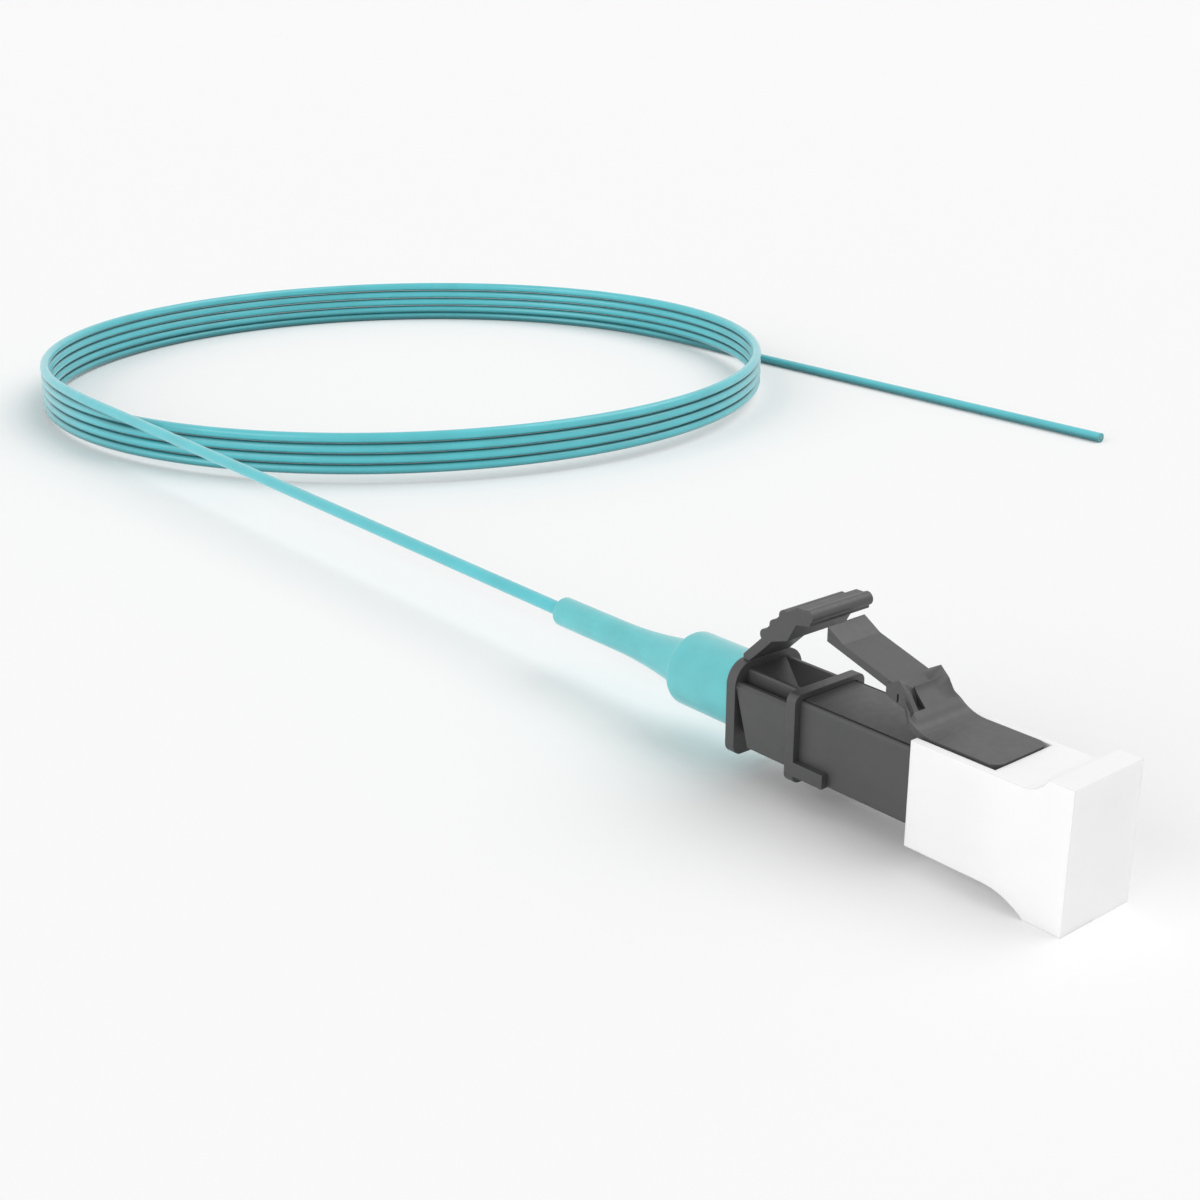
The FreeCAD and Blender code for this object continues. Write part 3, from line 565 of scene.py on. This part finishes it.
class PIGTAIL_OT_cord(bpy.types.Operator):
    """Lay the cord from the boot through its coil to the cut end"""
    bl_idname = "pigtail.cord"
    bl_label = "Cord"

    def execute(self, context):
        size = context.scene.pigtail_cord
        per_turn = 24
        steps = int(round(size.turns * per_turn))
        around = np.arange(steps + 1) / per_turn
        # The spline runs inside its points by this share, so they stand wider than the coil.
        wide = size.coil_radius / (0.75 + 0.25 * np.cos(2 * np.pi / per_turn))
        angle = -0.5 * np.pi - 2 * np.pi * around
        low = size.diameter / 2
        pitch = (size.coil_top - low) / size.turns
        height = size.coil_top - pitch * around + size.lean * np.cos(angle)
        coil = np.stack([
            size.coil_x + wide * np.cos(angle),
            size.coil_y + wide * np.sin(angle),
            np.maximum(low, height)], axis=1)
        reach = 2 * wide * np.sin(np.pi / per_turn)
        near_y = size.coil_y - wide
        far_y = size.coil_y + wide
        route = [(size.start_x + size.tuck, 0.0, size.start_z), (size.coil_x + reach, near_y, size.coil_top)]
        route += coil.tolist()
        route += [(size.coil_x + reach, far_y, low), (size.end_x, size.end_y, low)]
        data = bpy.data.curves.new("cord", "CURVE")
        data.dimensions = "3D"
        data.bevel_depth = low
        data.bevel_resolution = 5
        data.use_fill_caps = True
        data.resolution_u = 10
        spline = data.splines.new("NURBS")
        spline.points.add(len(route) - 1)
        for point, place in zip(spline.points, route):
            point.co = (*place, 1.0)
        spline.order_u = 3
        spline.use_endpoint_u = True
        spline.use_smooth = True
        cord = bpy.data.objects.new("cord", data)
        context.collection.objects.link(cord)
        put_material(cord, jacket("cord_jacket", size.jacket))
        fibre = size.fibre_diameter / 2
        stub_ends = [-size.stub_depth, size.stub_proud - size.stub_chamfer, size.stub_proud]
        stub_x = size.end_x + np.array(stub_ends)
        stub_r = np.array([fibre, fibre, fibre - size.stub_chamfer])
        stub = bar("fibre_stub", stub_x, stub_r, size.end_y, low)
        put_material(stub, clear_glass("fibre_coating", context.scene.pigtail_finish.glass))
        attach(cord, "base")
        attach(stub, "base")
        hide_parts("cord_lead", "cord_coil", "cord_tail")
        return {"FINISHED"}


class PIGTAIL_OT_latch(bpy.types.Operator):
    """Lead the latch's root smoothly into its arm"""
    bl_idname = "pigtail.latch"
    bl_label = "Latch"

    def web(self, size, x_from, x_to, left):
        """A web between two places along the plug, from its left edge to the root's right edge.

        Its top follows the sweep, then a ramp at 45 degrees, then the arm: the lower of ramp and arm, and the
        higher of that and the sweep, each rounded by a hyperbola. It fades into the sweep and into the arm at
        its ends, rises evenly to one fin's outer edge, and falls to the root's edge outside the fins.
        """
        x = np.linspace(x_from, x_to, 28)
        sweep = size.root_z + size.heel_sweep - np.sqrt(
            np.maximum(size.heel_sweep ** 2 - (size.root_x - x) ** 2, 0.0))
        ramp = size.heel_z + size.heel_x - x
        sink = np.clip((size.bend_x - x) / (size.bend_x - size.web_rear), 0.0, 1.0)
        arm = size.bend_z + (size.bend_x - x) * size.arm_slope + WEB_LIFT - WEB_SINK * sink
        crest = (ramp + arm - np.sqrt((ramp - arm) ** 2 + (CREST_SHARE * size.softness) ** 2)) / 2
        valley = (sweep + crest + np.sqrt((sweep - crest) ** 2 + size.softness ** 2)) / 2
        top = np.where(x > size.bend_x, valley, crest)
        start = ease((size.web_front - x) / WEB_FADE)
        top = np.where(x > size.heel_x, sweep + (top - sweep) * start - HAIR * (1 - start), top)

        past_heel = np.clip((size.heel_x - x) / (size.heel_x - size.bend_x), 0.0, 1.0)
        edge = size.half_width + (size.fin_outside - size.half_width) * np.sqrt(past_heel) - HAIR
        across = np.linspace(0.0, 1.0, 60)
        y = edge[:, None] - (edge + np.minimum(edge, left))[:, None] * across[None, :]
        outside = np.maximum(edge - size.fin_outside, 2 * HAIR)
        fall = ease((edge[:, None] - np.abs(y)) / outside[:, None])
        ground = np.where(x > size.heel_x, sweep, top - WEB_DEPTH)[:, None]
        fin = np.interp(x, [size.peak_x, size.nose_x, size.heel_x], [size.peak_z, size.nose_z, size.heel_z])
        fin = np.where(x < size.peak_x, size.peak_z - FIN_FALL * (size.peak_x - x), fin) + HAIR
        slant = np.clip((y - size.fin_inside) / (size.fin_outside - size.fin_inside), 0.0, 1.0)
        rise = np.where(x < size.heel_x, np.maximum(fin - top, 0.0), 0.0)
        height = ground + (top[:, None] - ground) * fall + rise[:, None] * slant * fall

        fin_floor = size.heel_z - FIN_FLOOR_DROP + FIN_FLOOR_SLOPE * (size.heel_x - x)
        deep = np.maximum(ramp - RAMP_DEPTH, fin_floor)
        shallow = np.minimum(ramp, np.minimum(arm, np.where(x > size.heel_x, sweep, arm))) - WEB_DEPTH
        beside_fin = (y > size.fin_inside + FIN_MARGIN) & (x < size.heel_x)[:, None]
        floor = np.where(beside_fin, deep[:, None], shallow[:, None])
        wide_x = np.broadcast_to(x[:, None], y.shape)
        upper = np.stack([wide_x, y, height], axis=-1)
        lower = np.stack([wide_x, y, np.minimum(floor, height - WEB_LEAST)], axis=-1)[:, ::-1]
        return tube("web", np.concatenate([upper, lower], axis=1))

    def execute(self, context):
        size = context.scene.pigtail_latch
        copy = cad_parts["latch_arm"].data.copy()
        shape = bmesh.new()
        shape.from_mesh(copy)
        bmesh.ops.remove_doubles(shape, verts=shape.verts, dist=MERGE)
        shape.to_mesh(copy)
        shape.free()
        copy.shade_flat()
        latch = bpy.data.objects.new("latch", copy)
        context.collection.objects.link(latch)
        webs = [
            self.web(size, size.heel_x - WEB_FRONT_OVERLAP, size.web_front, size.half_width),
            self.web(size, size.web_rear, size.heel_x + WEB_REAR_OVERLAP, size.notch_edge),
        ]
        for web in webs:
            join = latch.modifiers.new(web.name, "BOOLEAN")
            join.operation = "UNION"
            join.solver = "EXACT"
            join.object = web
        joined = bpy.data.meshes.new_from_object(latch.evaluated_get(context.evaluated_depsgraph_get()))
        latch.modifiers.clear()
        latch.data = joined
        for web in webs:
            bpy.data.objects.remove(web)
        joined.set_sharp_from_angle(angle=np.radians(SHARP_DEGREES))
        put_material(latch, bpy.data.materials["dark_plastic"])
        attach(latch, "latch")
        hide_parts("latch_arm")
        return {"FINISHED"}


class PIGTAIL_OT_inside(bpy.types.Operator):
    """Wind the ferrule's spring and lay the lead behind the ferrule"""
    bl_idname = "pigtail.inside"
    bl_label = "Spring and inner lead"

    def give_way(self, piece, node):
        """Lets a piece stand for a node, on the plug's base and with a mesh of its own."""
        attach(piece, "base")
        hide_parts(node)
        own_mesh(piece)

    def execute(self, context):
        size = context.scene.pigtail_inside
        look = context.scene.pigtail_finish
        cord = context.scene.pigtail_cord
        low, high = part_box("ferrule_spring")
        spring = helix("spring", low[0], high[0], size.spring_radius, size.wire_radius,
                       size.spring_turns, cord.start_z)
        put_material(spring, turned_metal("spring_steel", look.steel, roughness=0.25))
        self.give_way(spring, "ferrule_spring")
        low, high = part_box("inner_lead")
        lead_x = np.linspace(low[0], high[0], 24)
        lead_r = np.full(len(lead_x), size.lead_radius)
        lead = bar("lead_inside", lead_x, lead_r, 0.0, cord.start_z, 32)
        put_material(lead, jacket("inner_jacket", cord.jacket))
        self.give_way(lead, "inner_lead")
        return {"FINISHED"}


class PIGTAIL_OT_finishes(bpy.types.Operator):
    """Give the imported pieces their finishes"""
    bl_idname = "pigtail.finishes"
    bl_label = "Finishes"

    def execute(self, context):
        look = context.scene.pigtail_finish
        dark = moulded("dark_plastic", look.plastic, look.plastic_roughness, look.plastic_gloss, look.edge)
        finishes = {
            "plug_housing": dark, "trigger_clip": dark, "trigger_arm": dark, "back_post": dark,
            "dust_cap": white_plastic("cap_plastic", look.cap, look.edge),
            "ferrule": polished_ceramic("ferrule_ceramic", look.ceramic),
            "ferrule_flange": turned_metal("flange_metal", look.flange, roughness=0.3),
            "bare_fibre": clear_glass("fibre_glass", look.glass),
        }
        for node, material in finishes.items():
            put_material(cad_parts[node], material)
        return {"FINISHED"}


class PIGTAIL_OT_stage(bpy.types.Operator):
    """Lay the ground, set the light and place the camera"""
    bl_idname = "pigtail.stage"
    bl_label = "Stage"

    def lamp(self, context, name, place, spread, power):
        """A broad, far lamp on the side of a place, as wide as a spread in degrees."""
        data = bpy.data.lights.new(name, "SUN")
        data.angle = np.radians(spread)
        data.energy = power
        lamp = bpy.data.objects.new(name, data)
        lamp.location = place
        lamp.rotation_euler = (-Vector(place)).to_track_quat("-Z", "Y").to_euler()
        context.collection.objects.link(lamp)

    def execute(self, context):
        scene = context.scene
        stage = scene.pigtail_stage
        half = stage.ground_size / 2
        mesh = bpy.data.meshes.new("ground")
        square = [(-half, -half, 0), (half, -half, 0), (half, half, 0), (-half, half, 0)]
        mesh.from_pydata(square, [], [(0, 1, 2, 3)])
        ground = bpy.data.objects.new("ground", mesh)
        context.collection.objects.link(ground)
        paper = Shader("ground_paper")
        paper.set(Base_Color=tint(stage.ground, 1.0), Roughness=0.9, Specular_IOR_Level=0.1)
        put_material(ground, paper.material)

        world = bpy.data.worlds.new("white_room")
        world.use_nodes = True
        scene.world = world
        tree = world.node_tree
        room = tree.nodes["Background"]
        room.inputs["Color"].default_value = (1.0, 1.0, 1.0, 1.0)
        path = tree.nodes.new("ShaderNodeLightPath")
        seen = path.outputs["Is Camera Ray"]
        for ray in ("Is Glossy Ray", "Is Transmission Ray"):
            either = tree.nodes.new("ShaderNodeMath")
            either.operation = "MAXIMUM"
            tree.links.new(seen, either.inputs[0])
            tree.links.new(path.outputs[ray], either.inputs[1])
            seen = either.outputs["Value"]
        strength = tree.nodes.new("ShaderNodeMapRange")
        strength.inputs["To Min"].default_value = stage.sky
        strength.inputs["To Max"].default_value = 1.0
        tree.links.new(seen, strength.inputs["Value"])
        tree.links.new(strength.outputs["Result"], room.inputs["Strength"])

        self.lamp(context, "key", stage.key_place, stage.spread, stage.key_power)
        self.lamp(context, "fill", stage.fill_place, stage.spread, stage.fill_power)

        data = bpy.data.cameras.new("camera")
        data.sensor_width = 36.0
        data.lens = stage.lens
        data.clip_start = 0.004
        data.clip_end = 30.0
        camera = bpy.data.objects.new("camera", data)
        back = -Vector(stage.looking).normalized()
        right = Vector((0.0, 0.0, 1.0)).cross(back).normalized()
        up = back.cross(right)
        turn = Matrix((right, up, back)).transposed().to_4x4()
        camera.matrix_world = Matrix.Translation(Vector(stage.camera)) @ turn
        context.collection.objects.link(camera)
        scene.camera = camera
        scene.view_settings.view_transform = "Standard"
        return {"FINISHED"}


class PIGTAIL_PT_sidebar(bpy.types.Panel):
    """The pigtail's settings and the steps that make it"""
    bl_idname = "PIGTAIL_PT_sidebar"
    bl_label = "Fibre pigtail"
    bl_space_type = "VIEW_3D"
    bl_region_type = "UI"
    bl_category = "Pigtail"

    def draw(self, context):
        layout = self.layout
        for group, operator in (
                ("pigtail_finish", "pigtail.finishes"), ("pigtail_latch", "pigtail.latch"),
                ("pigtail_boot", "pigtail.boot"),
                ("pigtail_inside", "pigtail.inside"), ("pigtail_cord", "pigtail.cord"),
                ("pigtail_stage", "pigtail.stage")):
            settings = getattr(context.scene, group)
            box = layout.box()
            for name in settings.__annotations__:
                box.prop(settings, name)
            box.operator(operator)


SETTINGS = {
    "pigtail_cord": CordSettings,
    "pigtail_boot": BootSettings,
    "pigtail_latch": LatchSettings,
    "pigtail_inside": InsideSettings,
    "pigtail_finish": FinishSettings,
    "pigtail_stage": StageSettings,
}

CLASSES = (
    *SETTINGS.values(),
    PIGTAIL_OT_finishes, PIGTAIL_OT_latch, PIGTAIL_OT_boot,
    PIGTAIL_OT_inside, PIGTAIL_OT_cord, PIGTAIL_OT_stage,
    PIGTAIL_PT_sidebar,
)


def register():
    """Registers the classes and hangs the settings on the scene."""
    for kind in CLASSES:
        bpy.utils.register_class(kind)
    for name, kind in SETTINGS.items():
        setattr(bpy.types.Scene, name, bpy.props.PointerProperty(type=kind))


def unregister():
    """Takes the settings off the scene and the classes out."""
    for name in SETTINGS:
        delattr(bpy.types.Scene, name)
    for kind in reversed(CLASSES):
        bpy.utils.unregister_class(kind)


def main():
    """Makes the whole pigtail."""
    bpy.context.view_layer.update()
    register()
    bpy.ops.pigtail.finishes()
    bpy.ops.pigtail.latch()
    bpy.ops.pigtail.boot()
    bpy.ops.pigtail.inside()
    bpy.ops.pigtail.cord()
    bpy.ops.pigtail.stage()


if __name__ == "__main__":
    main()
